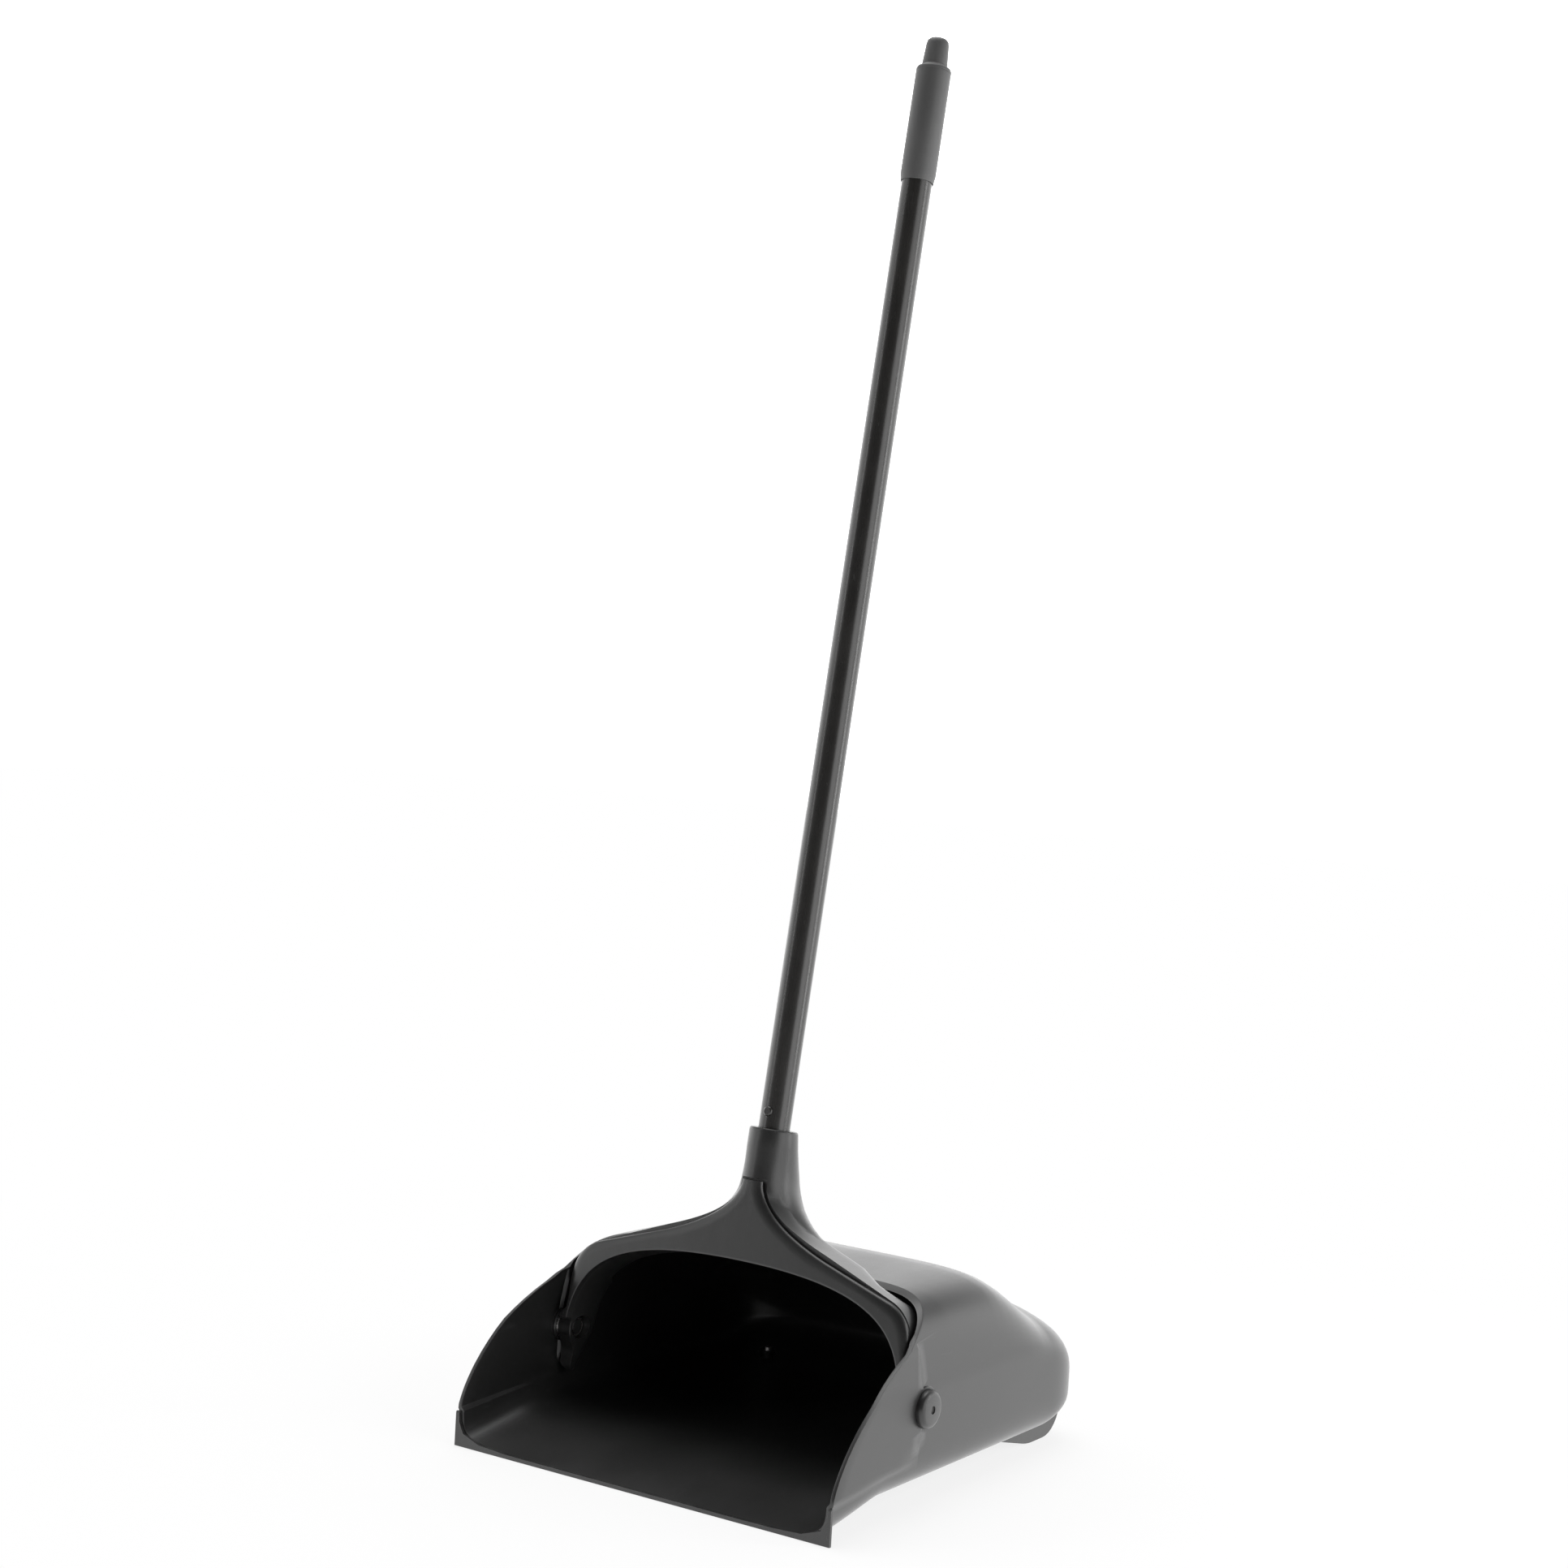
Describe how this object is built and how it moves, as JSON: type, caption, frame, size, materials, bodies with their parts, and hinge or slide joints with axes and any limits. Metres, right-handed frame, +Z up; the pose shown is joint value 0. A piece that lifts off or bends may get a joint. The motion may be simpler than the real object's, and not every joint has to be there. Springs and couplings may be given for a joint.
{
  "type": "lobby dustpan",
  "caption": "Upright lobby dustpan: hooded bin with a sweeping lip, swinging on side pivots in a yoke under a long tube handle with a grip.",
  "frame": {"origin": "on the ground under the middle of the bounding box", "axes": "+Z up, the mouth faces -Y, +X to the right of the bin seen from the front"},
  "size_m": [0.2984, 0.324, 0.9405],
  "materials": {
    "moulding": "satin",
    "face": "satin",
    "lip": "satin",
    "jacket": "gloss",
    "steel": "brushed",
    "bush": "satin"
  },
  "bodies": {
    "pan": {"pan_shell": "moulding", "front_lip": "lip", "rear_skid": "lip", "skid_screws": "steel", "left_pivot_pin": "moulding", "right_pivot_pin": "moulding", "left_pin_washer": "steel", "right_pin_washer": "steel", "left_pin_clip": "steel", "right_pin_clip": "steel"},
    "handle": {"yoke_body": "moulding", "yoke_face": "face", "face_screws": "steel", "left_bush": "bush", "right_bush": "bush", "handle_tube": "steel", "tube_jacket": "jacket", "tube_plug": "moulding", "tube_rivet": "jacket", "socket_screw": "steel", "handle_grip": "moulding", "end_cap": "moulding"}
  },
  "joints": [
    {"name": "handle_swing", "type": "hinge", "parent": "pan", "child": "handle", "pos_m": [0, -0.059, 0.062], "axis": [1, 0, 0], "range_deg": [0, 100]}
  ]
}
